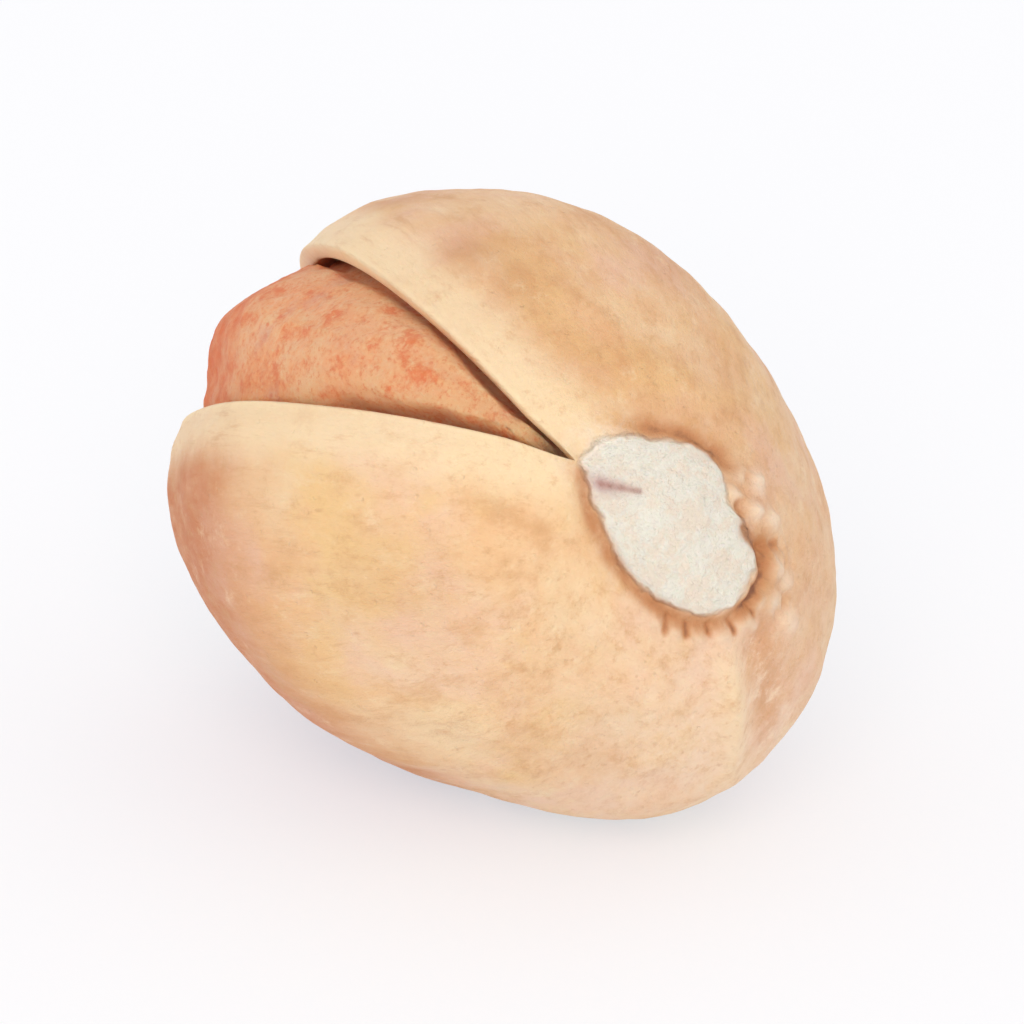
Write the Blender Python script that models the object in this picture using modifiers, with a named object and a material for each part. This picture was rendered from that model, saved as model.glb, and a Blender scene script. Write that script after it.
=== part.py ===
"""Pistachio in its shell, split open along its suture.

Two pieces: the shell, whose two valves are grown together at the stem end and
along the back, and the kernel that lies loose inside it.

The nut is worked out in its own axes: +X runs from the stem end to the tip, +Y
points to the front, the side that splits, and the two valves meet in the plane
Z = 0, the upper one on +Z. It is then laid on its side on a small flat spot.
"""
import math

import bmesh
import bpy
import numpy as np
from mathutils import Euler, Matrix, Vector

MM = 0.001

# The closed nut.
HALF_LENGTH = 8.74 * MM
HALF_WIDTH = 6.78 * MM      # in the plane where the valves meet
HALF_DEPTH = 5.64 * MM      # across that plane
TIP_FULLNESS = 0.02         # how much fuller the tip half is than the stem half
TIP_NARROWING = 0.10        # share of the radius lost on the way to the tip
SQUARENESS = 0.08           # 0 gives elliptic cross-sections
BACK_BOW = 0.5 * MM         # the middle bows out towards the back
WALL = 0.85 * MM

# The split runs from beside the stem scar, over the tip, to a point on the back.
# Both places are angles along the nut, from 0 at the stem end to 180 at the tip.
SPLIT_START = math.radians(30)
SPLIT_END = math.radians(140)
UPPER_OPENING = math.radians(10.7)
LOWER_OPENING = math.radians(24.2)
BEND_START = math.radians(70)   # from here round to the back the opening fades out

# Where this nut is fuller (or, if negative, flatter) than the plain form: degrees
# along and around it, how far the swelling reaches, and its height.
SWELLINGS = (
    (72, -124, 5.0 * MM, 0.30 * MM),    # the lower valve's belly
    (105, -70, 4.0 * MM, 0.10 * MM),
    (44, 135, 3.6 * MM, -0.55 * MM),    # the flat shoulder beside the stem end
    (138, 45, 2.4 * MM, 0.42 * MM),     # the upper valve's blunt tip
    (90, 30, 3.5 * MM, 0.08 * MM),
)
RIM_REACH = 1.6 * MM                    # swellings die away over this distance from the split

# The kernel fills the opened shell and swells out of the split.
KERNEL_GAP = 0.47 * MM
KERNEL_SPREAD = math.radians(38)    # the part of its front that is stretched to fill the gape
KERNEL_RIM_GAP = 0.38 * MM
KERNEL_RISE = 0.83 * MM             # how far it stands up just inside the rims,
KERNEL_SHOULDER = 0.6 * MM          # over this distance from them
KERNEL_BULGE = 0.55 * MM            # and how much further in the middle of the gape
KERNEL_BULGE_REACH = 2.8 * MM

# How the nut lies.
TIP_DOWN = math.radians(11.5)   # the tip points slightly down
ROLL = math.radians(52.1)       # the split looks up and to one side
FLAT_DEPTH = 0.35 * MM          # cut off below, so that it rests on a flat

RINGS = 36                      # the split's two ends lie on rings
SEGMENTS = 36
KERNEL_RINGS = 36
KERNEL_SEGMENTS = 48
KERNEL_CROWDING = 0.6           # 0 spaces the kernel's segments evenly, and 1 is the most
FLOOR_CUTTER_SIZE = 40 * MM


def nut_surface(around, along, inset=0.0):
    """Points of the closed nut from two angles, as an array.

    along is 0 at the stem end and pi at the tip, and around is 0 at the front
    edge. The outline is a circle's, narrowed towards the tip, each cross-section
    is a superellipse, and the middle is bowed towards the back.
    """
    radius = np.sin(along) * (1 - TIP_FULLNESS * np.cos(along))
    radius *= 1 - TIP_NARROWING * ((1 - np.cos(along)) / 2) ** 3
    power = 2 + SQUARENESS
    corner = np.abs(np.cos(around)) ** power + np.abs(np.sin(around)) ** power
    radius *= corner ** (-1 / power)
    x = -(HALF_LENGTH - inset) * np.cos(along)
    y = (HALF_WIDTH - inset) * radius * np.cos(around) - BACK_BOW * np.sin(along) ** 2
    z = (HALF_DEPTH - inset) * radius * np.sin(around)
    return np.stack([x, y, z], axis=-1)


def eased(share):
    """0 below 0, 1 above 1, and a smooth step between."""
    share = np.clip(share, 0, 1)
    return share * share * (3 - 2 * share)


def hinge_line():
    """The straight line between the split's two ends, in the suture plane."""
    start = nut_surface(0.0, SPLIT_START)
    end = nut_surface(math.pi, SPLIT_END)
    direction = (end - start) / np.linalg.norm(end - start)
    outwards = np.array([-direction[1], direction[0], 0.0])
    return start, direction, outwards


def about_hinge(points):
    """Each point's place along the hinge line, distance from it and angle round it."""
    start, direction, outwards = hinge_line()
    along = (points - start) @ direction
    out = (points - start) @ outwards
    return along, np.hypot(out, points[:, 2]), np.arctan2(points[:, 2], out)


def from_hinge(along, distance, angle):
    """Points from their places about the hinge line."""
    start, direction, outwards = hinge_line()
    points = start + np.outer(along, direction)
    points += np.outer(distance * np.cos(angle), outwards)
    points[:, 2] += distance * np.sin(angle)
    return points


def outwards(points):
    """The unit normal of the plain ellipsoid at each point of the closed nut."""
    slope = points / np.array([HALF_LENGTH, HALF_WIDTH, HALF_DEPTH]) ** 2
    return slope / np.linalg.norm(slope, axis=-1, keepdims=True)


def swollen(around, along, inset=0.0):
    """Points of the closed nut moved out by its swellings, each a bell curve over distance."""
    outside = nut_surface(around, along)
    height = np.zeros(len(outside))
    for centre_along, centre_around, reach, most in SWELLINGS:
        centre = nut_surface(math.radians(centre_around), math.radians(centre_along))
        off = np.linalg.norm(outside - centre, axis=-1)
        height += most * np.exp(-(off / reach) ** 2)
    place, distance, angle = about_hinge(outside)
    off_split = np.where(np.abs(angle) < math.pi / 2, np.abs(outside[:, 2]), distance)
    height *= eased((off_split - inset / 2) / RIM_REACH)
    return nut_surface(around, along, inset) + height[:, None] * outwards(outside)


def opening_left(angle):
    """The share of a valve's opening kept at an angle: all at the rim, none at the back."""
    return 1 - eased((np.abs(angle) - BEND_START) / (math.pi - BEND_START))


def opened_shell(around, along, side):
    """The shell's outside: each point turns outwards about the hinge line."""
    place, distance, angle = about_hinge(swollen(around, along))
    turn = np.where(side > 0, UPPER_OPENING, -LOWER_OPENING)
    return from_hinge(place, distance, angle + turn * opening_left(angle))


def kernel_surface(around, along, side):
    """The kernel: a smaller nut, opened as the shell is, its front stretched to fill the gape.

    It stands up just inside the rims and bulges in the middle. Its segments are
    drawn together at the front, where that shape needs them.
    """
    around = around - KERNEL_CROWDING * np.sin(around)
    place, distance, angle = about_hinge(swollen(around, along, WALL + KERNEL_GAP))
    middle = (UPPER_OPENING - LOWER_OPENING) / 2
    half_gape = (UPPER_OPENING + LOWER_OPENING) / 2
    turn = np.where(side > 0, UPPER_OPENING, -LOWER_OPENING)
    turn = middle + (turn - middle) * eased(np.abs(angle) / KERNEL_SPREAD)
    angle = angle + turn * opening_left(angle)
    off_rim = distance * (half_gape - np.abs(angle - middle)) - KERNEL_RIM_GAP
    distance = distance + KERNEL_RISE * eased(off_rim / KERNEL_SHOULDER)
    distance = distance + KERNEL_BULGE * eased(off_rim / KERNEL_BULGE_REACH)
    return from_hinge(place, distance, angle)


def split_edges(bm):
    """The edges of a unit sphere, poles on X, that lie along the split."""
    found = []
    for edge in bm.edges:
        ends = [vert.co for vert in edge.verts]
        if max(abs(end.z) for end in ends) > 1e-4:
            continue
        middle = (ends[0] + ends[1]) / 2
        along = math.atan2(abs(middle.y), -middle.x)
        if along > (SPLIT_START if middle.y > 0 else SPLIT_END):
            found.append(edge)
    return found


def shaped_sphere(name, surface, rings, segments, split):
    """A sphere primitive with its poles on X, moved point by point to a surface."""
    bm = bmesh.new()
    bmesh.ops.create_uvsphere(bm, u_segments=segments, v_segments=rings, radius=1.0)
    bmesh.ops.rotate(bm, verts=bm.verts, matrix=Matrix.Rotation(math.radians(90), 3, "Y"))
    if split:
        bmesh.ops.split_edges(bm, edges=split_edges(bm))
    unit = np.array([vert.co for vert in bm.verts])
    # A point on the suture belongs to the valve that its faces belong to.
    side = np.array([sum(face.calc_center_median().z for face in vert.link_faces)
                     for vert in bm.verts])
    around = np.arctan2(unit[:, 2], unit[:, 1])
    along = np.arccos(np.clip(-unit[:, 0], -1, 1))
    for vert, place in zip(bm.verts, surface(around, along, side)):
        vert.co = place
    bmesh.ops.recalc_face_normals(bm, faces=bm.faces)
    mesh = bpy.data.meshes.new(name)
    bm.to_mesh(mesh)
    bm.free()
    return bpy.data.objects.new(name, mesh)


def material(name, colour, roughness):
    """A plain Principled material."""
    made = bpy.data.materials.new(name)
    made.use_nodes = True
    shader = made.node_tree.nodes["Principled BSDF"]
    shader.inputs["Base Color"].default_value = (*colour, 1.0)
    shader.inputs["Roughness"].default_value = roughness
    shader.inputs["Metallic"].default_value = 0.0
    made.diffuse_color = (*colour, 1.0)
    return made


def add_shell():
    """The shell: an open surface, split along its suture and given its wall."""
    shell = shaped_sphere("shell", opened_shell, RINGS, SEGMENTS, split=True)
    shell.data.materials.append(material("shell", (0.79, 0.58, 0.38), 0.55))
    shell.data.shade_smooth()
    wall = shell.modifiers.new("wall", "SOLIDIFY")
    wall.thickness = WALL
    wall.offset = -1.0
    return shell


def add_kernel():
    """The kernel with its skin: one loose seed."""
    kernel = shaped_sphere("kernel", kernel_surface, KERNEL_RINGS, KERNEL_SEGMENTS, split=False)
    kernel.data.materials.append(material("kernel", (0.75, 0.33, 0.17), 0.6))
    kernel.data.shade_smooth()
    return kernel


def add_floor_cutter():
    """A block with its top at Z = 0, which cuts the flat spot."""
    bm = bmesh.new()
    bmesh.ops.create_cube(bm, size=FLOOR_CUTTER_SIZE)
    mesh = bpy.data.meshes.new("rest_spot_cutter")
    bm.to_mesh(mesh)
    bm.free()
    cutter = bpy.data.objects.new("rest_spot_cutter", mesh)
    cutter.location.z = -FLOOR_CUTTER_SIZE / 2
    cutter.hide_render = True
    cutter.display_type = "WIRE"
    return cutter


def underside(thing):
    """The middle of an object's box in X and Y, and its lowest Z."""
    bpy.context.view_layer.update()
    seen = thing.evaluated_get(bpy.context.evaluated_depsgraph_get())
    points = np.array([seen.matrix_world @ vert.co for vert in seen.data.vertices])
    low, high = points.min(axis=0), points.max(axis=0)
    return Vector(((low[0] + high[0]) / 2, (low[1] + high[1]) / 2, low[2]))


for old in list(bpy.data.objects):
    bpy.data.objects.remove(old, do_unlink=True)

nut = bpy.data.collections.new("pistachio_in_shell")
cutters = bpy.data.collections.new("cutters")
bpy.context.scene.collection.children.link(nut)
bpy.context.scene.collection.children.link(cutters)

axes = bpy.data.objects.new("nut_axes", None)
axes.rotation_euler = Euler((ROLL, TIP_DOWN, math.pi))
shell = add_shell()
kernel = add_kernel()
for piece in (shell, kernel):
    piece.parent = axes
for thing in (axes, shell, kernel):
    nut.objects.link(thing)

# The nut sinks by the depth of its flat spot, and the block takes that off.
axes.location = -underside(shell) - Vector((0, 0, FLAT_DEPTH))
floor_cutter = add_floor_cutter()
cutters.objects.link(floor_cutter)
rest_spot = shell.modifiers.new("rest_spot", "BOOLEAN")
rest_spot.operation = "DIFFERENCE"
rest_spot.solver = "EXACT"
rest_spot.object = floor_cutter
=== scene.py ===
import math

import bmesh
import bpy
import numpy as np
from mathutils import Euler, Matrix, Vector


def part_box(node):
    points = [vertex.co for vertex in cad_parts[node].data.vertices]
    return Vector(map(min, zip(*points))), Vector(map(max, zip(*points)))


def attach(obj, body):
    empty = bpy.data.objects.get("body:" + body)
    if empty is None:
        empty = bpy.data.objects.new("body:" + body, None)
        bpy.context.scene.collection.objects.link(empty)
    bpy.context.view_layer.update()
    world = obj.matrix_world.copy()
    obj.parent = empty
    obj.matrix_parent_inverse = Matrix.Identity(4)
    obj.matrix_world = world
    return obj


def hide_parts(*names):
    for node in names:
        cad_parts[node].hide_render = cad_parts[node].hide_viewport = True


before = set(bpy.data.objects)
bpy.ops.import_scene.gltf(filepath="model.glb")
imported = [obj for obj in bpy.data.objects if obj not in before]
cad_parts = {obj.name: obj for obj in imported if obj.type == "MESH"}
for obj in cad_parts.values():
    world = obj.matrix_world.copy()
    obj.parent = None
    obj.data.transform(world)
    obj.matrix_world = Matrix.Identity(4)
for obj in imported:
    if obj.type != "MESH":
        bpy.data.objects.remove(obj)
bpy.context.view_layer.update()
MM = 0.001

# ---------------------------------------------------------------------------
# The shell.
# A hard, woody nut shell of two valves that grew as one. They are still joined
# at the stem end and along the back, and have split apart along the front and
# over the tip. The pale scar at the stem end is where the nut hung in its bunch.
# ---------------------------------------------------------------------------

# The closed nut, in its own axes: +X from the stem end to the tip, +Y to the
# front, where it splits, and the valves meet in the plane Z = 0.
HALF_LENGTH = 8.74 * MM
HALF_WIDTH = 6.78 * MM
HALF_DEPTH = 5.64 * MM
TIP_FULLNESS = 0.02
TIP_NARROWING = 0.10
SQUARENESS = 0.08
BACK_BOW = 0.5 * MM
WALL = 0.85 * MM
RIM_WALL = 0.48 * MM            # the wall is thinner at the rims
RIM_REACH = 1.6 * MM            # it thins, and swellings die away, this near to the split

# The split, from beside the scar over the tip to a point on the back. Angles
# along the nut run from 0 at the stem end to 180 degrees at the tip.
SPLIT_START = math.radians(30)
SPLIT_END = math.radians(140)
UPPER_OPENING = math.radians(10.7)
LOWER_OPENING = math.radians(24.2)
BEND_START = math.radians(70)

# Where this nut is fuller (or, if negative, flatter) than the plain form: angles
# along and around it, how far the swelling reaches, and its height.
SWELLINGS = (
    (72, -124, 5.0 * MM, 0.30 * MM),    # the lower valve's belly
    (105, -70, 4.0 * MM, 0.10 * MM),    # and its front
    (44, 135, 3.6 * MM, -0.55 * MM),    # the flat shoulder beside the stem end
    (138, 45, 2.4 * MM, 0.42 * MM),     # the upper valve's blunt tip
    (90, 30, 3.5 * MM, 0.08 * MM),      # and its front
)

# How it lies.
TIP_DOWN = math.radians(11.5)
ROLL = math.radians(52.1)

# The grid: rings along the nut in three runs, and columns round each valve.
RINGS_TO_SPLIT = 86
RINGS_BESIDE_SPLIT = 150
RINGS_AT_TIP = 44
OUTER_COLUMNS = 126
INNER_COLUMNS = 26
MERGE = 1e-7                    # points nearer than this become one

# The rounded lip that joins outside and inside along the split.
LIP_STEPS = 12
LIP_ROUND = 0.12 * MM           # how far it stands into the gape,
LIP_FADE = 1.6 * MM             # once it is this far from the hinge line

# The stem scar: a white oval and the groove round it, both seen from the stem end,
# with centres and radii in mm in Y and Z.
SCAR_CENTRE = (1.15, 0.50)
SCAR_RADII = (2.03, 1.62)
SCAR_DENTS = (                  # degrees round the oval, their spread, and mm out
    (41, 20, -0.20),
    (80, 15, 0.14),
    (121, 15, -0.40),
    (157, 16, 0.20),
    (195, 30, 0.25),
    (315, 25, -0.24),
)
GROOVE_CENTRE = (0.82, 0.58)
GROOVE_RADII = (2.37, 1.83)
TICKS_ROUND = 26                # creases across the groove, if they went all the way round
TICKS_FROM = 184                # degrees round the oval where one of them lies
SLIT = ((2.62, -0.04), (2.02, 0.40))    # the slit in the scar, from its end near the split
KNOT = ((0.2, 2.3), (-2.2, 1.2))        # the middle of the crumpled ground at the far end

# Places on the stem end, in mm in Y and Z: dark creases beside the scar as start,
# end, width and depth, and pearly nodules, partly a painted highlight, as centre, width and height.
CREASES = (
    ((0.16, 1.86), (-0.30, 1.58), 0.15, 0.07),
    ((-0.30, 1.58), (-0.95, 1.52), 0.20, 0.10),
    ((-0.95, 1.52), (-1.34, 1.36), 0.17, 0.08),
    ((-0.95, 1.55), (-1.40, 2.00), 0.17, 0.07),
)
NODULES = (
    ((0.55, 2.42), 0.20, 0.11),
    ((0.40, 1.98), 0.17, 0.09),
    ((0.02, 2.66), 0.25, 0.12),
    ((-0.32, 2.12), 0.21, 0.13),
    ((-0.86, 2.30), 0.25, 0.11),
    ((-1.20, 1.05), 0.20, 0.09),
    ((-1.18, 0.55), 0.17, 0.07),
    ((-1.72, 1.60), 0.25, 0.12),
    ((-2.28, 1.62), 0.24, 0.09),
    ((-2.22, 0.98), 0.25, 0.11),
    ((-2.05, 0.20), 0.20, 0.08),
    ((-3.05, 1.05), 0.30, 0.09),
)
NODULE_LENGTH = 0.08            # mm: each is drawn out this far before it is rounded
FAR_OFF = 9.0                   # mm: further off than any mark reaches

# The paler, pinker part of the outside, underneath at the stem end.
PALE_PLACE = (42, -150)         # degrees along and around
PALE_REACH = 4.2 * MM

# Brown smudges on the outside: degrees along and around the nut, mm wide, and strength.
SMUDGES = (
    (76, 15, 0.8, 0.75),
    (66, 19, 0.7, 0.70),
    (79, 60, 1.0, 0.60),
    (106, 15, 0.9, 0.50),
    (44, 22, 0.8, 0.50),
    (60, -40, 1.3, 0.40),
    (50, -105, 1.4, 0.35),
    (110, 120, 1.8, 0.50),
    (95, -165, 2.2, 0.40),
)


def closed_nut(around, along, inset=0.0):
    """Points of the closed nut from two angles.

    along runs from 0 at the stem end to pi at the tip, and around is 0 at the
    front edge. The outline is a circle's, narrowed towards the tip, each
    cross-section a superellipse, and the middle is bowed towards the back.
    """
    radius = np.sin(along) * (1 - TIP_FULLNESS * np.cos(along))
    radius = radius * (1 - TIP_NARROWING * ((1 - np.cos(along)) / 2) ** 3)
    power = 2 + SQUARENESS
    corner = np.abs(np.cos(around)) ** power + np.abs(np.sin(around)) ** power
    radius = radius * corner ** (-1 / power)
    x = -(HALF_LENGTH - inset) * np.cos(along)
    y = (HALF_WIDTH - inset) * radius * np.cos(around) - BACK_BOW * np.sin(along) ** 2
    z = (HALF_DEPTH - inset) * radius * np.sin(around)
    return np.stack(np.broadcast_arrays(x, y, z), axis=-1)


def spot(along, around):
    """The point of the closed nut at two angles in degrees."""
    return closed_nut(math.radians(around), math.radians(along))


def along_nut(points):
    """Each point's angle along the closed nut, from 0 at the stem end to pi at the tip."""
    return np.arccos(np.clip(-points[..., 0] / HALF_LENGTH, -1, 1))


def eased(share):
    """0 below 0, 1 above 1, and between them 3 s squared less 2 s cubed."""
    share = np.clip(share, 0, 1)
    return share * share * (3 - 2 * share)


def hill(distance, width):
    """1 at distance 0, falling off as a bell curve of that width."""
    return np.exp(-(distance / width) ** 2)


# The hinge line: straight from the split's start to its end, in the plane where
# the valves meet. Each valve turns outwards about it.
hinge_start = closed_nut(0.0, SPLIT_START)
hinge_end = closed_nut(math.pi, SPLIT_END)
hinge_way = (hinge_end - hinge_start) / np.linalg.norm(hinge_end - hinge_start)
hinge_out = np.array([-hinge_way[1], hinge_way[0], 0.0])


def about_hinge(points):
    """Each point's place along the hinge line, distance from it and angle round it."""
    place = (points - hinge_start) @ hinge_way
    out = (points - hinge_start) @ hinge_out
    return place, np.hypot(out, points[..., 2]), np.arctan2(points[..., 2], out)


def from_hinge(place, distance, angle):
    """Points from their places about the hinge line."""
    points = hinge_start + place[..., None] * hinge_way
    points = points + (distance * np.cos(angle))[..., None] * hinge_out
    points[..., 2] += distance * np.sin(angle)
    return points


def opening_left(angle):
    """The share of a valve's opening kept at an angle: all at the rim, none at the back."""
    return 1 - eased((np.abs(angle) - BEND_START) / (math.pi - BEND_START))


def opened(points, opening):
    """Points of a closed valve, turned about the hinge line by its opening."""
    place, distance, angle = about_hinge(points)
    return from_hinge(place, distance, angle + opening * opening_left(angle))


def outwards(points):
    """The unit normal of the plain ellipsoid at each point of the closed nut."""
    slope = points / np.array([HALF_LENGTH, HALF_WIDTH, HALF_DEPTH]) ** 2
    return slope / np.linalg.norm(slope, axis=-1, keepdims=True)


def off_split(points):
    """Each point's distance from the half plane that the split lies in."""
    _, distance, angle = about_hinge(points)
    return np.where(np.abs(angle) < math.pi / 2, np.abs(points[..., 2]), distance)


def swollen(around, along, inset=0.0):
    """Points of the closed nut moved out by its swellings, each a bell curve over distance.

    They die away towards the split, so that both valves' rims keep the plain outline.
    """
    outside = closed_nut(around, along)
    height = np.zeros(outside.shape[:-1])
    for centre_along, centre_around, reach, most in SWELLINGS:
        centre = spot(centre_along, centre_around)
        height += most * hill(np.linalg.norm(outside - centre, axis=-1), reach)
    height *= eased((off_split(outside) - np.max(inset) / 2) / RIM_REACH)
    return closed_nut(around, along, inset) + height[..., None] * outwards(outside)


def rolling(points, size, seed, waves=26):
    """Soft random hills from about -1 to 1: a sum of plane waves, about size apart."""
    random = np.random.default_rng(seed)
    way = random.normal(size=(waves, 3))
    way /= np.linalg.norm(way, axis=1, keepdims=True)
    way *= 2 * math.pi / size * random.uniform(0.7, 1.35, (waves, 1))
    phase = random.uniform(0, 2 * math.pi, waves)
    return np.sin(points @ way.T + phase).sum(axis=-1) / math.sqrt(waves)


def at_stem_end(points, distance):
    """A distance kept at the stem end, and far off everywhere else."""
    return np.where(points[..., 0] < -0.5 * HALF_LENGTH, distance, FAR_OFF)


def on_oval(points, centre, radii):
    """Distance outside an ellipse seen from the stem end, in mm, and degrees round its centre."""
    y = points[..., 1] / MM - centre[0]
    z = points[..., 2] / MM - centre[1]
    turn = np.arctan2(z, y)
    edge = radii[0] * radii[1] / np.hypot(radii[1] * np.cos(turn), radii[0] * np.sin(turn))
    distance = np.hypot(y, z) - edge
    return at_stem_end(points, distance), np.degrees(turn) % 360


def off_turn(turn, middle):
    """How far one angle is from another, in degrees, the short way round."""
    return np.abs((turn - middle + 180) % 360 - 180)


def scar_distance(points):
    """Distance outside the white scar's dented and slightly ragged edge, in mm."""
    distance, turn = on_oval(points, SCAR_CENTRE, SCAR_RADII)
    for middle, spread, out in SCAR_DENTS:
        distance = distance - out * hill(off_turn(turn, middle), spread)
    return distance + 0.035 * rolling(points / MM, 0.7, 11) + 0.02 * rolling(points / MM, 0.3, 12)


def over_arc(turn, start, end, soft=16.0):
    """1 where an angle in degrees lies between two others, with soft ends."""
    off = off_turn(turn, (start + end) / 2)
    return 1 - eased((off - (end - start) / 2) / soft + 0.5)


def groove_mask(distance, turn):
    """The groove round the scar: its strength by the angle, times a bell curve across it."""
    strength = 0.90 * over_arc(turn, 20, 96, 30) + 0.90 * over_arc(turn, 142, 186)
    strength = strength + 0.85 * over_arc(turn, 180, 345)
    return np.clip(strength, 0, 1) * hill(distance, 0.23 + 0.04 * np.sin(np.radians(turn) * 5))


def tick_mask(distance, turn):
    """Short creases that run outwards from the groove on its lower side, evenly spaced."""
    beat = np.cos(np.radians(turn - TICKS_FROM) * TICKS_ROUND / 2) ** 2
    thin = hill(np.sqrt(1 - beat), 0.46 + 0.10 * np.sin(np.radians(turn) * 3.5))
    length = 0.46 + 0.10 * np.sin(np.radians(turn) * 8)
    span = eased((distance + 0.05) / 0.12) * (1 - eased((distance - length + 0.18) / 0.22))
    return thin * span * over_arc(turn, 178, 248, 14)


def knuckle_mask(distance, turn):
    """The rounded ends of the shell's ribs that stand between those creases."""
    beat = np.sin(np.radians(turn - TICKS_FROM) * TICKS_ROUND / 2) ** 2
    return beat * hill(distance - 0.27, 0.17) * over_arc(turn, 172, 250, 14)


def line_distance(points, start, end):
    """Distance from a straight line on the stem end, in mm, and the share of the way along it."""
    start, end = np.array(start), np.array(end)
    flat = points[..., 1:] / MM
    share = np.clip((flat - start) @ (end - start) / np.sum((end - start) ** 2), 0, 1)
    off = np.linalg.norm(flat - start - share[..., None] * (end - start), axis=-1)
    return at_stem_end(points, off), share


def crease_mask(points):
    """The dark creases beside the scar, in mm of depth over 0.1."""
    mask = np.zeros(points.shape[:-1])
    for start, end, width, depth in CREASES:
        off, _ = line_distance(points, start, end)
        mask = np.maximum(mask, depth / 0.1 * hill(off, width))
    return mask


def nodule_mask(points):
    """The pearly nodules beside the scar, in mm of height over 0.1."""
    mask = np.zeros(points.shape[:-1])
    for centre, width, height in NODULES:
        off, _ = line_distance(points, centre, (centre[0] - NODULE_LENGTH, centre[1]))
        mask = np.maximum(mask, height / 0.1 * hill(off, width))
    return mask


def slit_masks(points):
    """The slit in the scar: a thin line, and the stain round its end near the split."""
    off, share = line_distance(points, *SLIT)
    off = off + 0.02 * rolling(points / MM, 0.35, 31)
    return hill(off, 0.07 - 0.02 * share), hill(off, 0.22 - 0.08 * share) * (1 - 0.80 * share)


def smudge_mask(points):
    """How strongly the brown smudges, a third longer than wide, colour the outside."""
    mask = np.zeros(points.shape[:-1])
    for along, around, width, strength in SMUDGES:
        centre = spot(along, around)
        off = np.linalg.norm((points - centre) * np.array([0.75, 1, 1]), axis=-1) / MM
        mask = np.maximum(mask, strength * hill(off, width))
    return mask


def keel_places(points):
    """Distance across the keel on the back, in mm, positive towards the upper valve, and strength.

    The keel leaves the scar on the lower valve's side and drifts to the seam.
    """
    along = along_nut(points)
    lean = np.radians(22) * (1 - eased((np.degrees(along) - 48) / 50))
    y, z = points[..., 1] + BACK_BOW * np.sin(along) ** 2, points[..., 2]
    turn = (np.arctan2(z, y) % (2 * math.pi)) - (math.pi + lean)
    across = -turn * np.hypot(y, z) / MM
    strength = eased((np.degrees(along) - 12) / 10) * (1 - eased((np.degrees(along) - 34) / 34))
    return across, strength * (y < 0)


def shell_relief(points):
    """Height of the outside over the plain nut, in metres, and the masks that colour it."""
    scar = scar_distance(points)
    groove_off, turn = on_oval(points, GROOVE_CENTRE, GROOVE_RADII)
    groove = groove_mask(groove_off, turn)
    ticks = tick_mask(groove_off, turn)
    knuckles = knuckle_mask(groove_off, turn)
    creases = crease_mask(points)
    nodules = nodule_mask(points)
    slit, stain = slit_masks(points)
    across, keel = keel_places(points)
    _, from_line, _ = about_hinge(points)
    rim = off_split(points) / MM
    along = np.degrees(along_nut(points))
    smooth = eased(rim / 0.9)
    clear = eased((groove_off - 0.2) / 1.0)
    long_ways = points * np.array([0.28, 1, 1])

    # In mm: dents all over, finer ones that run along the nut, all calm beside the scar.
    height = 0.070 * rolling(points / MM, 6.5, 3) * clear
    height += 0.022 * rolling(points / MM, 2.4, 4) * clear * smooth
    height += 0.011 * rolling(long_ways / MM, 0.95, 5) * clear * smooth
    height += 0.005 * rolling(long_ways / MM, 0.42, 6) * clear * smooth
    # The scar is a low granular pad, hollow in its middle.
    pad = 1 - eased((scar + 0.16) / 0.30)
    height += pad * (0.07 - 0.05 * eased(-scar / 1.2))
    height += pad * (0.024 * rolling(points / MM, 0.60, 7) + 0.013 * rolling(points / MM, 0.30, 8))
    height -= 0.15 * groove + 0.06 * ticks + 0.11 * creases + 0.03 * slit
    height += 0.09 * knuckles + nodules * (0.10 + 0.02 * rolling(points / MM, 0.3, 10))
    # Beside the scar's far end the ground is crumpled between the nodules.
    off_knot, _ = line_distance(points, *KNOT)
    knot = hill(off_knot, 0.75) * eased(scar / 0.3)
    height -= knot * 0.07 * np.abs(rolling(points / MM, 0.6, 9))
    # The keel on the back, with a shallow trough on its upper side.
    height += keel * (0.24 * hill(across, 0.40) - 0.10 * hill(across - 1.0, 0.6))
    # The outside rounds off a little towards the rims.
    height -= 0.05 * (1 - eased(rim / 0.6))
    # Nothing moves where the split starts and ends, so that the valves stay joined there.
    height = height * eased(from_line / (0.4 * MM))

    around_groove = 0.72 + 0.15 * over_arc(turn, 12, 96) + 0.28 * over_arc(turn, 138, 190)
    # Towards the tip the lower valve takes painted shade and reflected orange light over its tan,
    # and the upper valve a little of the same colour all over.
    tan_and_shade_below = eased((along - 74) / 42)
    tan_above = 0.22 + 0.25 * eased((along - 90) / 50)
    masks = {
        "scar": scar,
        "groove": groove * around_groove,
        "knot": knot,
        "creases": np.clip(0.95 * creases + 0.70 * ticks, 0, 1),
        "nodules": np.clip(0.75 * nodules + 0.8 * knuckles, 0, 1),
        "slit": slit,
        "stain": stain,
        "rim": rim,
        "keel": keel * hill(across, 0.4),
        # The trough beside the keel, where its painted shade goes.
        "trough_shade": keel * hill(across - 1.15, 0.60),
        "smudges": smudge_mask(points),
        "tan_and_shade": np.where(points[..., 2] < 0, tan_and_shade_below, tan_above),
        "pale": hill(np.linalg.norm(points - spot(*PALE_PLACE), axis=-1), PALE_REACH),
        "inside": np.zeros_like(rim),
    }
    return height * MM, masks


def opening_of(side):
    """A valve's opening: positive for the upper one."""
    return UPPER_OPENING if side > 0 else -LOWER_OPENING


# Where the rings lie along the nut. The inside's are moved, so that its own split
# starts and ends where it meets the hinge line.
outer_rings = np.concatenate([
    np.linspace(0, SPLIT_START, RINGS_TO_SPLIT, endpoint=False),
    np.linspace(SPLIT_START, SPLIT_END, RINGS_BESIDE_SPLIT, endpoint=False),
    np.linspace(SPLIT_END, math.pi, RINGS_AT_TIP + 1),
])
first_split_ring = RINGS_TO_SPLIT
last_split_ring = RINGS_TO_SPLIT + RINGS_BESIDE_SPLIT


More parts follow.
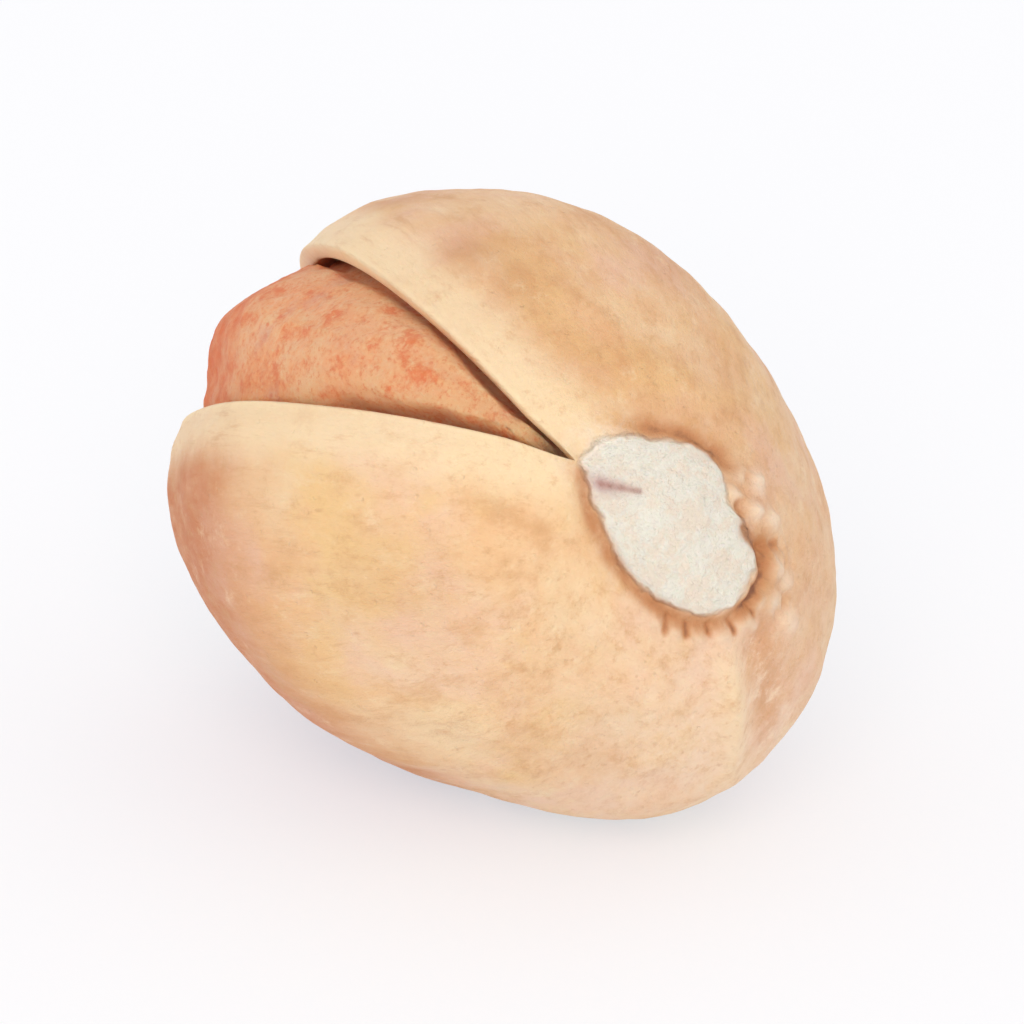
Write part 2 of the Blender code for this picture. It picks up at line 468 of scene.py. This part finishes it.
def wall_at(around, along):
    """The thickness of the wall, which thins towards the rims."""
    off_rim = off_split(closed_nut(around, along))
    return RIM_WALL + (WALL - RIM_WALL) * eased(off_rim / RIM_REACH)


def inner_crossing(around, near):
    """The angle along the nut at which the inside's edge crosses the hinge line."""
    along = np.linspace(near - 0.25, near + 0.25, 4001)
    out = (closed_nut(around, along, wall_at(around, along)) - hinge_start) @ hinge_out
    order = np.argsort(out)
    return np.interp(0.0, out[order], along[order])


inner_rings = np.interp(
    outer_rings,
    [0, SPLIT_START, SPLIT_END, math.pi],
    [0, inner_crossing(0.0, SPLIT_START), inner_crossing(math.pi, SPLIT_END), math.pi],
)


def valve_grids(side):
    """The outside and inside of one valve, rows along it and columns from the front to the back.

    With them come the same points while the nut was closed, and the outside's masks.
    """
    around = np.linspace(0, side * math.pi, OUTER_COLUMNS + 1)[None, :]
    plain = closed_nut(around, outer_rings[:, None])
    height, masks = shell_relief(plain)
    outside = swollen(around, outer_rings[:, None]) + height[..., None] * outwards(plain)
    outside = opened(outside, opening_of(side))
    around = np.linspace(0, side * math.pi, INNER_COLUMNS + 1)[None, :]
    wall = wall_at(around, inner_rings[:, None])
    plain_in = closed_nut(around, inner_rings[:, None], wall)
    inside = opened(swollen(around, inner_rings[:, None], wall), opening_of(side))
    return outside, inside, plain, plain_in, masks


def lip(outer_edge, inner_edge, side):
    """The rim: half a superellipse from the outside's edge to the inside's.

    It stands a little into the gape, and not at all where the split starts and ends.
    """
    turns = np.linspace(0, math.pi, LIP_STEPS + 1)
    across = np.sign(np.cos(turns)) * np.sqrt(np.abs(np.cos(turns)))
    proud = np.sqrt(np.abs(np.sin(turns)))
    middle = (outer_edge + inner_edge) / 2
    half = (outer_edge - inner_edge) / 2
    points = middle[:, None] + half[:, None] * across[:, None]
    turn = opening_of(side)
    into_gape = -side * (np.array([0, 0, math.cos(turn)]) - math.sin(turn) * hinge_out)
    _, distance, _ = about_hinge(middle)
    swell = LIP_ROUND * eased(distance / LIP_FADE)
    return points + (swell[:, None] * proud)[..., None] * into_gape


class Patchwork:
    """Grids of points gathered into one mesh, with a value of each mask at every point."""

    def __init__(self, mask_names):
        self.points, self.faces, self.count = [], [], 0
        self.masks = {name: [] for name in mask_names}
        self.places = []

    def add(self, points, places, masks, turned):
        """Adds a grid of quads. turned swaps the side that its faces point to."""
        rows, columns = points.shape[:2]
        corner = np.arange(rows * columns).reshape(rows, columns) + self.count
        quads = [corner[:-1, :-1], corner[:-1, 1:], corner[1:, 1:], corner[1:, :-1]]
        if turned:
            quads.reverse()
        self.faces.append(np.stack(quads, axis=-1).reshape(-1, 4))
        self.points.append(points.reshape(-1, 3))
        self.places.append(places.reshape(-1, 3))
        for name, values in self.masks.items():
            values.append(np.broadcast_to(masks[name], (rows, columns)).ravel())
        self.count += rows * columns

    def mesh(self, name, place_on_table):
        """The welded mesh, laid in place. Its attributes hold the masks and places on the nut."""
        made = bpy.data.meshes.new(name)
        laid = place_on_table(np.concatenate(self.points))
        made.from_pydata(laid.tolist(), [], np.concatenate(self.faces).tolist())
        for mask, values in self.masks.items():
            layer = made.attributes.new(mask, "FLOAT", "POINT")
            layer.data.foreach_set("value", np.concatenate(values).astype(np.float32))
        layer = made.attributes.new("place", "FLOAT_VECTOR", "POINT")
        places = np.concatenate(self.places) / MM
        layer.data.foreach_set("vector", places.ravel().astype(np.float32))
        bm = bmesh.new()
        bm.from_mesh(made)
        bmesh.ops.remove_doubles(bm, verts=bm.verts, dist=MERGE)
        bmesh.ops.dissolve_degenerate(bm, edges=bm.edges, dist=MERGE)
        bmesh.ops.recalc_face_normals(bm, faces=bm.faces)
        bm.to_mesh(made)
        bm.free()
        made.shade_smooth()
        return made


# Where the nut lies: its box is that of the shell in the frame, and what would
# reach below the table is pressed flat into the rest spot.
axes = np.array(Euler((ROLL, TIP_DOWN, math.pi)).to_matrix())
sample_around = np.linspace(0, math.pi, 181)[None, :]
sample_along = np.linspace(0, math.pi, 181)[:, None]
plain_valves = [
    opened(swollen(side * sample_around, sample_along), opening_of(side)).reshape(-1, 3)
    for side in (1, -1)
]
turned_nut = np.concatenate(plain_valves) @ axes.T
low, high = (np.array(corner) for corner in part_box("shell"))
shift = (low + high) / 2 - (turned_nut.min(axis=0) + turned_nut.max(axis=0)) / 2
shift[2] = high[2] - turned_nut[:, 2].max()


def on_table(points):
    """Points in the nut's own axes, turned and moved to where the nut lies."""
    laid = points @ axes.T + shift
    laid[:, 2] = np.maximum(laid[:, 2], 0.0)
    return laid


def even_masks(names, **others):
    """One value for each mask: the scar far off and the rest 0, apart from those given."""
    return {name: 0.0 for name in names} | {"scar": FAR_OFF} | others


def shell_mesh():
    """The whole shell: both valves' outsides and insides, and the lips along the split."""
    mask_names = ("scar", "groove", "knot", "creases", "nodules", "slit", "stain", "rim", "keel",
                  "trough_shade", "smudges", "tan_and_shade", "pale", "inside")
    work = Patchwork(mask_names)
    for side in (1, -1):
        outside, inside, plain, plain_in, masks = valve_grids(side)
        work.add(outside, plain, masks, turned=side < 0)
        inner_masks = even_masks(mask_names, rim=FAR_OFF, inside=1.0)
        work.add(inside, plain_in, inner_masks, turned=side > 0)
        for column, start in ((0, first_split_ring), (-1, last_split_ring)):
            strip = lip(outside[start:, column], inside[start:, column], side)
            share = np.linspace(0, 1, LIP_STEPS + 1)[None, :, None]
            edge, edge_in = plain[start:, None, column], plain_in[start:, None, column]
            places = edge + (edge_in - edge) * share
            work.add(strip, places, even_masks(mask_names), turned=(side < 0) != (column < 0))
    return work.mesh("shell_surface", on_table)


def srgb(red, green, blue):
    """A colour as it looks on a screen, from 0 to 1, as the linear colour that a shader takes."""
    screen = np.array([red, green, blue])
    linear = np.where(screen <= 0.04045, screen / 12.92, ((screen + 0.055) / 1.055) ** 2.4)
    return (*linear.tolist(), 1.0)


def add_node(tree, kind, inputs=None, **settings):
    """A node with its settings by name, and its inputs: each a value or another node's output."""
    node = tree.nodes.new(kind)
    for name, value in settings.items():
        setattr(node, name, value)
    for socket, value in (inputs or {}).items():
        if isinstance(value, bpy.types.NodeSocket):
            tree.links.new(value, node.inputs[socket])
        else:
            node.inputs[socket].default_value = value
    return node


def attribute(tree, name, output="Fac"):
    """What the mesh holds at its points under a name: a value, or with "Vector" a vector."""
    return add_node(tree, "ShaderNodeAttribute", attribute_name=name).outputs[output]


def stretched(tree, vector, scale, offset=(0, 0, 0)):
    """A vector scaled along each axis, and shifted so that its noise differs from another's."""
    inputs = {"Vector": vector, "Scale": scale, "Location": offset}
    return add_node(tree, "ShaderNodeMapping", inputs).outputs["Vector"]


def noise(tree, vector, scale, detail=4.0, roughness=0.55, distortion=0.0):
    """Cloudy noise, from 0 to 1."""
    inputs = {"Vector": vector, "Scale": scale, "Detail": detail,
              "Roughness": roughness, "Distortion": distortion}
    return add_node(tree, "ShaderNodeTexNoise", inputs).outputs["Fac"]


def cells(tree, vector, scale):
    """Distance from the nearest of many scattered points."""
    inputs = {"Vector": vector, "Scale": scale}
    return add_node(tree, "ShaderNodeTexVoronoi", inputs).outputs["Distance"]


def between(tree, value, low, high, to_low=0.0, to_high=1.0):
    """A value taken smoothly from one range to another, and held at its ends."""
    inputs = {"Value": value, "From Min": low, "From Max": high,
              "To Min": to_low, "To Max": to_high}
    node = add_node(tree, "ShaderNodeMapRange", inputs, interpolation_type="SMOOTHSTEP")
    return node.outputs["Result"]


def maths(tree, operation, first, second, third=0.0, clamp=False):
    """One sum of two or three values."""
    inputs = {0: first, 1: second, 2: third}
    return add_node(tree, "ShaderNodeMath", inputs, operation=operation, use_clamp=clamp).outputs[0]


def times(tree, first, second, clamp=False):
    """Two values multiplied."""
    return maths(tree, "MULTIPLY", first, second, clamp=clamp)


def marked(tree, mask, value, *span):
    """A mask of the mesh made uneven: it is multiplied by a value taken to another range."""
    return times(tree, attribute(tree, mask), between(tree, value, *span))


def blended(tree, share, first, second):
    """Two colours mixed by a share from 0 to 1."""
    inputs = {0: share, 6: first, 7: second}
    return add_node(tree, "ShaderNodeMix", inputs, data_type="RGBA").outputs[2]


def bumped(tree, height, distance, normal=None):
    """A normal tilted by a height that stands this far, in metres, where it is 1."""
    inputs = {"Height": height, "Distance": distance, "Strength": 1.0}
    if normal is not None:
        inputs["Normal"] = normal
    return add_node(tree, "ShaderNodeBump", inputs).outputs["Normal"]


def new_material(name):
    """A new material, its node tree and its Principled shader."""
    made = bpy.data.materials.new(name)
    made.use_nodes = True
    return made, made.node_tree, made.node_tree.nodes["Principled BSDF"]


SHELL_CREAM = srgb(0.965, 0.828, 0.645)
SHELL_TAN = srgb(0.950, 0.760, 0.560)
SHELL_PINK = srgb(0.960, 0.800, 0.690)
SHELL_PALE = srgb(0.995, 0.865, 0.755)
SHELL_STRAW = srgb(0.950, 0.790, 0.540)
SHELL_OCHRE = srgb(0.845, 0.630, 0.425)
SMUDGE_BROWN = srgb(0.800, 0.580, 0.390)
TIP_ORANGE_SHADE = srgb(0.810, 0.480, 0.270)
RIM_CREAM = srgb(0.985, 0.870, 0.700)
SCAR_WHITE = srgb(1.000, 0.970, 0.905)
SCAR_CREAM = srgb(1.000, 0.935, 0.855)
PEARL_AND_HIGHLIGHT = srgb(0.990, 0.890, 0.780)
KNOT_TAN = srgb(0.830, 0.600, 0.420)
GROOVE_BROWN = srgb(0.800, 0.545, 0.350)
GROOVE_DARK = srgb(0.540, 0.335, 0.235)
SLIT_MAUVE = srgb(0.820, 0.655, 0.635)
SLIT_BROWN = srgb(0.740, 0.535, 0.480)
TROUGH_SHADE_ORANGE = srgb(0.880, 0.655, 0.480)
INNER_CREAM = srgb(0.930, 0.790, 0.640)


def shell_material():
    """Satin woody shell: cream, tan and straw clouds, pale rims, a white scar in a brown groove,
    with painted shade beside the keel and towards the tip and a painted highlight on the pearly
    nodules.
    """
    made, tree, shader = new_material("pistachio_shell")
    place = attribute(tree, "place", "Vector")
    scar = attribute(tree, "scar")
    rim = attribute(tree, "rim")
    long_ways = stretched(tree, place, (0.30, 1, 1))

    # Broad clouds of four tones, then streaks that run along the nut.
    clouds = noise(tree, place, 0.30, detail=6, roughness=0.62, distortion=0.4)
    pink = noise(tree, stretched(tree, place, (1, 1, 1), (9, 4, 2)), 0.32, detail=5)
    straw = noise(tree, stretched(tree, place, (0.6, 1, 1), (2, 9, 4)), 0.45, detail=5)
    streaks = noise(tree, long_ways, 1.1, detail=7, roughness=0.66)
    longer = stretched(tree, place, (0.7, 1, 1), (5, 2, 8))
    mottles = noise(tree, longer, 1.4, detail=8, roughness=0.74)
    fibres = noise(tree, stretched(tree, place, (0.10, 1, 1)), 4.2, detail=6, roughness=0.7)
    colour = blended(tree, between(tree, clouds, 0.34, 0.66), SHELL_TAN, SHELL_CREAM)
    colour = blended(tree, between(tree, pink, 0.45, 0.66, 0.0, 0.75), colour, SHELL_PINK)
    colour = blended(tree, between(tree, straw, 0.45, 0.66, 0.0, 0.75), colour, SHELL_STRAW)
    colour = blended(tree, between(tree, streaks, 0.50, 0.74, 0.0, 0.65), colour, SHELL_OCHRE)
    colour = blended(tree, between(tree, streaks, 0.46, 0.30, 0.0, 0.60), colour, RIM_CREAM)

    # Smudges, the pale part below, painted shade and reflected orange light towards the tip, the
    # rims, the keel, and painted shade in the trough beside it.
    smudges = marked(tree, "smudges", clouds, 0.30, 0.65, 0.3)
    colour = blended(tree, smudges, colour, SMUDGE_BROWN)
    pale = marked(tree, "pale", mottles, 0.34, 0.60, 0.95, 0.5)
    colour = blended(tree, pale, colour, SHELL_PALE)
    # Towards the tip, a darker orange: painted shade and reflected light over the shell's own tan.
    tan_and_shade = marked(tree, "tan_and_shade", streaks, 0.30, 0.62, 0.75, 1.0)
    colour = blended(tree, tan_and_shade, colour, TIP_ORANGE_SHADE)
    wander = maths(tree, "MULTIPLY_ADD", noise(tree, place, 0.9), 0.7, -0.35)
    rim_edge = maths(tree, "ADD", rim, wander)
    colour = blended(tree, between(tree, rim_edge, 1.50, 0.45, 0.0, 0.85), colour, RIM_CREAM)
    colour = blended(tree, times(tree, attribute(tree, "keel"), 0.65), colour, RIM_CREAM)
    # Painted shade: a darker orange in the trough on the keel's upper side.
    trough_shade = marked(tree, "trough_shade", mottles, 0.30, 0.55)
    colour = blended(tree, times(tree, trough_shade, 0.9, clamp=True), colour, TROUGH_SHADE_ORANGE)

    # Fine mottling, lengthwise fibres and a few brown flecks lie over all of it.
    spots = between(tree, mottles, 0.50, 0.72, 0.0, 0.60)
    spots = times(tree, spots, between(tree, rim, 0.2, 1.8, 0.35))
    colour = blended(tree, spots, colour, SHELL_OCHRE)
    colour = blended(tree, between(tree, mottles, 0.46, 0.26, 0.0, 0.55), colour, RIM_CREAM)
    colour = blended(tree, between(tree, fibres, 0.52, 0.74, 0.0, 0.50), colour, SHELL_OCHRE)
    flecks = between(tree, cells(tree, long_ways, 1.7), 0.10, 0.03)
    flecks = times(tree, flecks, between(tree, rim, 0.5, 2.0))
    colour = blended(tree, times(tree, flecks, 0.35), colour, SMUDGE_BROWN)

    # The scar, with a pale halo, and what lies round it.
    grain = noise(tree, place, 2.6, detail=6, roughness=0.7)
    halo = times(tree, between(tree, scar, 0.75, 0.05), between(tree, grain, 0.35, 0.6))
    colour = blended(tree, times(tree, halo, 0.7), colour, PEARL_AND_HIGHLIGHT)
    knot = marked(tree, "knot", grain, 0.40, 0.58, 0.25, 0.8)
    colour = blended(tree, knot, colour, KNOT_TAN)
    scar_edge = maths(tree, "MULTIPLY_ADD", grain, 0.34, -0.17)
    scar_edge = maths(tree, "ADD", scar, scar_edge)
    scar_share = between(tree, scar_edge, 0.12, -0.08)
    cloudy = noise(tree, place, 1.6, detail=7, roughness=0.72)
    scar_colour = blended(tree, between(tree, cloudy, 0.42, 0.56), SCAR_CREAM, SCAR_WHITE)
    pits = between(tree, cells(tree, place, 1.9), 0.16, 0.04)
    pits = times(tree, pits, between(tree, cloudy, 0.50, 0.44))
    scar_colour = blended(tree, times(tree, pits, 0.7), scar_colour, PEARL_AND_HIGHLIGHT)
    colour = blended(tree, scar_share, colour, scar_colour)
    # The nodules and knuckles take a pale pearly colour, partly their own tone and partly a painted
    # highlight on their tops.
    nodules = times(tree, attribute(tree, "nodules"), 0.9, clamp=True)
    colour = blended(tree, nodules, colour, PEARL_AND_HIGHLIGHT)

    # The groove: an ochre halo, a brown bed and a darker line along its bottom.
    ragged = noise(tree, place, 1.6, detail=6, roughness=0.6)
    uneven = between(tree, ragged, 0.32, 0.66, 0.60, 1.15)
    ochre = maths(tree, "POWER", attribute(tree, "groove"), 0.35)
    ochre = times(tree, ochre, maths(tree, "SUBTRACT", 1.0, scar_share))
    ochre = times(tree, ochre, between(tree, mottles, 0.3, 0.6, 0.4, 0.8))
    colour = blended(tree, ochre, colour, SHELL_OCHRE)
    groove = times(tree, attribute(tree, "groove"), uneven)
    colour = blended(tree, between(tree, groove, 0.02, 0.72, 0.0, 0.95), colour, GROOVE_BROWN)
    colour = blended(tree, between(tree, groove, 0.60, 1.02, 0.0, 0.85), colour, GROOVE_DARK)
    creases = times(tree, attribute(tree, "creases"), uneven)
    colour = blended(tree, between(tree, creases, 0.04, 0.60, 0.0, 0.9), colour, GROOVE_BROWN)
    colour = blended(tree, between(tree, creases, 0.45, 0.95, 0.0, 0.9), colour, GROOVE_DARK)
    stain = marked(tree, "stain", ragged, 0.30, 0.60, 0.5, 0.9)
    colour = blended(tree, stain, colour, SLIT_MAUVE)
    slit = marked(tree, "slit", ragged, 0.34, 0.60, 0.15, 0.8)
    colour = blended(tree, slit, colour, SLIT_BROWN)
    colour = blended(tree, attribute(tree, "inside"), colour, INNER_CREAM)

    tree.links.new(colour, shader.inputs["Base Color"])
    rough = between(tree, streaks, 0.3, 0.7, 0.44, 0.60)
    rough = maths(tree, "ADD", rough, times(tree, scar_share, 0.3))
    tree.links.new(rough, shader.inputs["Roughness"])
    fine = noise(tree, long_ways, 5.0, detail=8, roughness=0.7)
    normal = bumped(tree, fine, 0.050 * MM)
    normal = bumped(tree, streaks, 0.12 * MM, normal)
    normal = bumped(tree, mottles, 0.06 * MM, normal)
    pores = between(tree, cells(tree, place, 2.6), 0.02, 0.16)
    normal = bumped(tree, pores, 0.018 * MM, normal)
    scar_grain = times(tree, grain, scar_share)
    normal = bumped(tree, scar_grain, 0.20 * MM, normal)
    tree.links.new(normal, shader.inputs["Normal"])
    shader.inputs["Specular IOR Level"].default_value = 0.4
    shader.inputs["Subsurface Weight"].default_value = 0.12
    shader.inputs["Subsurface Radius"].default_value = (1.0, 0.45, 0.22)
    shader.inputs["Subsurface Scale"].default_value = 0.8 * MM
    return made


shell = bpy.data.objects.new("nut_shell", shell_mesh())
bpy.context.scene.collection.objects.link(shell)
shell.data.materials.append(shell_material())
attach(shell, "root")
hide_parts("shell")

# ---------------------------------------------------------------------------
# The kernel.
# The seed, in a thin papery skin that has dried on it in fine lengthwise
# wrinkles. It lies loose in the shell and swells out of the split.
# ---------------------------------------------------------------------------

KERNEL_GAP = 0.24 * MM              # how far it lies under the shell's full wall
KERNEL_SPREAD = math.radians(38)    # this much of it to each side is stretched over the gape
KERNEL_FRONT = math.radians(13)     # this much shows at the stem end, before it is stretched,
KERNEL_STEM_LIFT = 0.68 * MM        # and comes nearer to the surface there
KERNEL_RISE = 0.31 * MM             # it stands up by this,
KERNEL_SHOULDER = 0.28 * MM         # over this distance,
KERNEL_RIM_GAP = 0.02 * MM          # starting this far inside each rim,
KERNEL_BULGE = 0.55 * MM            # and swells further,
KERNEL_BULGE_REACH = 2.0 * MM       # towards the middle of the gape
KERNEL_RINGS = 260
KERNEL_COLUMNS = 300
KERNEL_CROWDING = 0.5               # 0 spaces the columns evenly, more draws them to the front


def grid_normals(points):
    """Unit normals of a grid whose last column closes on its first and whose end rows are poles."""
    joined = np.concatenate([points[:, -2:-1], points, points[:, 1:2]], axis=1)
    across = joined[:, 2:] - joined[:, :-2]
    normals = np.cross(across, np.gradient(points, axis=0))
    size = np.linalg.norm(normals, axis=-1, keepdims=True)
    normals = normals / np.maximum(size, 1e-18)
    normals[0] = (-1, 0, 0)
    normals[-1] = (1, 0, 0)
    return normals


def kernel_mesh():
    """A smaller nut, opened as the shell is, its front stretched to fill the gape and swollen.

    It follows the wall where that thins at the rims. Shallow dents, lengthwise
    wrinkles and a fine crumple stand on it along its normals.
    """
    along = np.linspace(0, math.pi, KERNEL_RINGS + 1)[:, None]
    around = np.linspace(-math.pi, math.pi, KERNEL_COLUMNS + 1)[None, :]
    around = around - KERNEL_CROWDING * np.sin(around)
    plain = closed_nut(around, along, WALL + KERNEL_GAP)
    stem_end = eased((-plain[..., 0] / MM + 1) / 6)
    _, distance, angle = about_hinge(plain)
    front = 1 - eased(2 * np.abs(angle) / KERNEL_FRONT - 1)
    lift = KERNEL_STEM_LIFT * stem_end * front * eased(distance / (0.6 * MM))
    place, distance, angle = about_hinge(swollen(around, along, WALL + KERNEL_GAP - lift))
    middle = (UPPER_OPENING - LOWER_OPENING) / 2
    half_gape = (UPPER_OPENING + LOWER_OPENING) / 2
    turn = np.where(angle > 0, UPPER_OPENING, -LOWER_OPENING)
    turn = middle + (turn - middle) * eased(np.abs(angle) / KERNEL_SPREAD)
    angle = angle + turn * opening_left(angle)
    # The distance from the nearer rim: above 0 in the gape, and below 0 under the shell.
    off_rim = distance * (half_gape - np.abs(angle - middle)) - KERNEL_RIM_GAP
    shoulder = np.minimum(KERNEL_SHOULDER, 0.7 * distance * half_gape + 0.01 * MM)
    nearer = (WALL - RIM_WALL) * (1 - eased(-off_rim / RIM_REACH))
    nearer = nearer * eased(distance / MM) * eased(2 - np.abs(angle) / math.radians(45))
    distance = distance + nearer + KERNEL_RISE * eased(off_rim / shoulder)
    distance = distance + KERNEL_BULGE * eased(off_rim / KERNEL_BULGE_REACH)
    points = from_hinge(place, distance, angle)

    long_ways = points * np.array([0.40, 1, 1]) / MM
    height = 0.055 * rolling(points / MM, 4.2, 21)
    height += 0.030 * rolling(long_ways, 1.7, 22)
    height -= 0.040 * np.abs(rolling(long_ways, 1.0, 23))
    height -= 0.014 * np.abs(rolling(long_ways, 0.55, 24))
    height += 0.007 * rolling(points / MM, 0.35, 25)
    points = points + (height * MM)[..., None] * grid_normals(points)
    masks = {
        "off_rim": off_rim / MM,
        "stem_end": stem_end,
        "tip_end": eased((plain[..., 0] / MM - 0.5) / 4),
    }
    work = Patchwork(masks)
    work.add(points, points, masks, turned=False)
    return work.mesh("kernel_surface", on_table)


KERNEL_SALMON = srgb(1.000, 0.675, 0.465)
KERNEL_PEACH = srgb(1.000, 0.800, 0.610)
KERNEL_PAINTED_LIGHT = srgb(1.000, 0.740, 0.545)
KERNEL_RUST = srgb(0.945, 0.490, 0.290)
KERNEL_TIP = srgb(0.925, 0.460, 0.255)
KERNEL_DARK_SKIN_AND_SHADE = srgb(0.720, 0.340, 0.210)
KERNEL_PURPLE = srgb(0.800, 0.590, 0.580)


def kernel_material():
    """Matt seed skin: salmon and peach speckles, rusty wrinkles, purple bloom and a redder tip,
    with painted light over the stem end and darker skin with painted shade where it runs under the
    rims.
    """
    made, tree, shader = new_material("pistachio_kernel")
    place = attribute(tree, "place", "Vector")
    off_rim = attribute(tree, "off_rim")
    long_ways = stretched(tree, place, (0.75, 1, 1))

    clouds = noise(tree, place, 0.55, detail=5, roughness=0.6)
    wrinkles = noise(tree, long_ways, 1.7, detail=7, roughness=0.70)
    longer = stretched(tree, place, (0.8, 1, 1), (5, 1, 3))
    speckles = noise(tree, longer, 3.8, detail=7, roughness=0.78)
    light = maths(tree, "MULTIPLY_ADD", clouds, 0.45, times(tree, speckles, 0.55))
    colour = blended(tree, between(tree, light, 0.44, 0.60), KERNEL_SALMON, KERNEL_PEACH)
    # Painted light: a lighter orange over the stem end, where the narrow gape keeps the skin in
    # shade.
    painted_light = times(tree, attribute(tree, "stem_end"), 0.8)
    colour = blended(tree, painted_light, colour, KERNEL_PAINTED_LIGHT)
    colour = blended(tree, between(tree, wrinkles, 0.52, 0.34, 0.0, 0.80), colour, KERNEL_RUST)
    colour = blended(tree, between(tree, speckles, 0.50, 0.68, 0.0, 0.60), colour, KERNEL_RUST)
    colour = blended(tree, between(tree, speckles, 0.44, 0.30, 0.0, 0.60), colour, KERNEL_PEACH)
    grains = noise(tree, place, 7.5, detail=4, roughness=0.7)
    colour = blended(tree, between(tree, grains, 0.52, 0.66, 0.0, 0.55), colour, KERNEL_RUST)
    colour = blended(tree, between(tree, grains, 0.46, 0.34, 0.0, 0.50), colour, KERNEL_PEACH)
    bloom = noise(tree, stretched(tree, place, (1, 1, 1), (2, 8, 6)), 0.5, detail=4)
    colour = blended(tree, between(tree, bloom, 0.54, 0.72, 0.0, 0.35), colour, KERNEL_PURPLE)
    tip = marked(tree, "tip_end", wrinkles, 0.65, 0.40, 0.55, 0.95)
    colour = blended(tree, tip, colour, KERNEL_TIP)
    # Darker, redder skin and painted shade where the kernel runs in under the shell's rims.
    colour = blended(tree, between(tree, off_rim, 0.05, -0.3, 0.0, 0.8), colour, KERNEL_DARK_SKIN_AND_SHADE)

    tree.links.new(colour, shader.inputs["Base Color"])
    rough = between(tree, wrinkles, 0.3, 0.7, 0.66, 0.54)
    tree.links.new(rough, shader.inputs["Roughness"])
    normal = bumped(tree, wrinkles, 0.10 * MM)
    normal = bumped(tree, speckles, 0.09 * MM, normal)
    normal = bumped(tree, grains, 0.05 * MM, normal)
    tree.links.new(normal, shader.inputs["Normal"])
    shader.inputs["Specular IOR Level"].default_value = 0.3
    shader.inputs["Subsurface Weight"].default_value = 0.45
    shader.inputs["Subsurface Radius"].default_value = (1.0, 0.40, 0.20)
    shader.inputs["Subsurface Scale"].default_value = 1.6 * MM
    return made


kernel = bpy.data.objects.new("nut_kernel", kernel_mesh())
bpy.context.scene.collection.objects.link(kernel)
kernel.data.materials.append(kernel_material())
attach(kernel, "root")
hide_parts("kernel")

# ---------------------------------------------------------------------------
# The table, the light and the camera.
# A plain white table under an even white sky, with one broad soft light a
# little above the camera, and a long lens.
# ---------------------------------------------------------------------------

TABLE_HALF = 1.5
AIM = Vector((0, 0, 6.0 * MM))
AZIMUTH = math.radians(64)
ELEVATION = math.radians(25)
CAMERA_DISTANCE = 0.40
VIEW_WIDTH = 21.0 * MM
SENSOR = 36.0
LAMP_AZIMUTH = AZIMUTH - math.radians(2)
LAMP_ELEVATION = math.radians(33)
LAMP_DISTANCE = 0.6
LAMP_SIZE = 0.35
LAMP_WATTS = 1.14
SKY_STRENGTH = 0.89


def table():
    """A matt table top that glows, as a light table does, so that shadows on it stay pale."""
    corners = [(-1, -1), (1, -1), (1, 1), (-1, 1)]
    made = bpy.data.meshes.new("table_top")
    made.from_pydata([(x * TABLE_HALF, y * TABLE_HALF, 0) for x, y in corners], [], [(0, 1, 2, 3)])
    top = bpy.data.objects.new("table_top", made)
    material, _, shader = new_material("white_table")
    shader.inputs["Base Color"].default_value = (0.56, 0.45, 0.39, 1.0)
    shader.inputs["Roughness"].default_value = 0.9
    shader.inputs["Emission Color"].default_value = (0.67, 0.87, 1.0, 1.0)
    shader.inputs["Emission Strength"].default_value = 0.58
    made.materials.append(material)
    return top


def aimed(thing, azimuth, elevation, distance):
    """Puts a light or camera round the nut, looking at it. Azimuth 0 looks along +Y."""
    back = Vector((math.sin(azimuth) * math.cos(elevation),
                   -math.cos(azimuth) * math.cos(elevation), math.sin(elevation)))
    thing.location = AIM + back * distance
    thing.rotation_euler = (-back).to_track_quat("-Z", "Y").to_euler()
    bpy.context.scene.collection.objects.link(thing)


top = table()
bpy.context.scene.collection.objects.link(top)

sky = bpy.data.worlds.new("sky")
sky.use_nodes = True
background = sky.node_tree.nodes["Background"]
background.inputs["Color"].default_value = (1.0, 0.985, 1.0, 1.0)
background.inputs["Strength"].default_value = SKY_STRENGTH
bpy.context.scene.world = sky

lamp = bpy.data.lights.new("soft_light", "AREA")
lamp.shape = "DISK"
lamp.size = LAMP_SIZE
lamp.energy = LAMP_WATTS
lamp.color = (1.0, 0.99, 0.95)
soft_light = bpy.data.objects.new("soft_light", lamp)
aimed(soft_light, LAMP_AZIMUTH, LAMP_ELEVATION, LAMP_DISTANCE)

lens = bpy.data.cameras.new("camera")
lens.sensor_width = SENSOR
lens.lens = SENSOR * CAMERA_DISTANCE / VIEW_WIDTH
lens.clip_start = 0.01
lens.clip_end = 10.0
camera = bpy.data.objects.new("camera", lens)
aimed(camera, AZIMUTH, ELEVATION, CAMERA_DISTANCE)
bpy.context.scene.camera = camera
bpy.context.scene.view_settings.view_transform = "Standard"
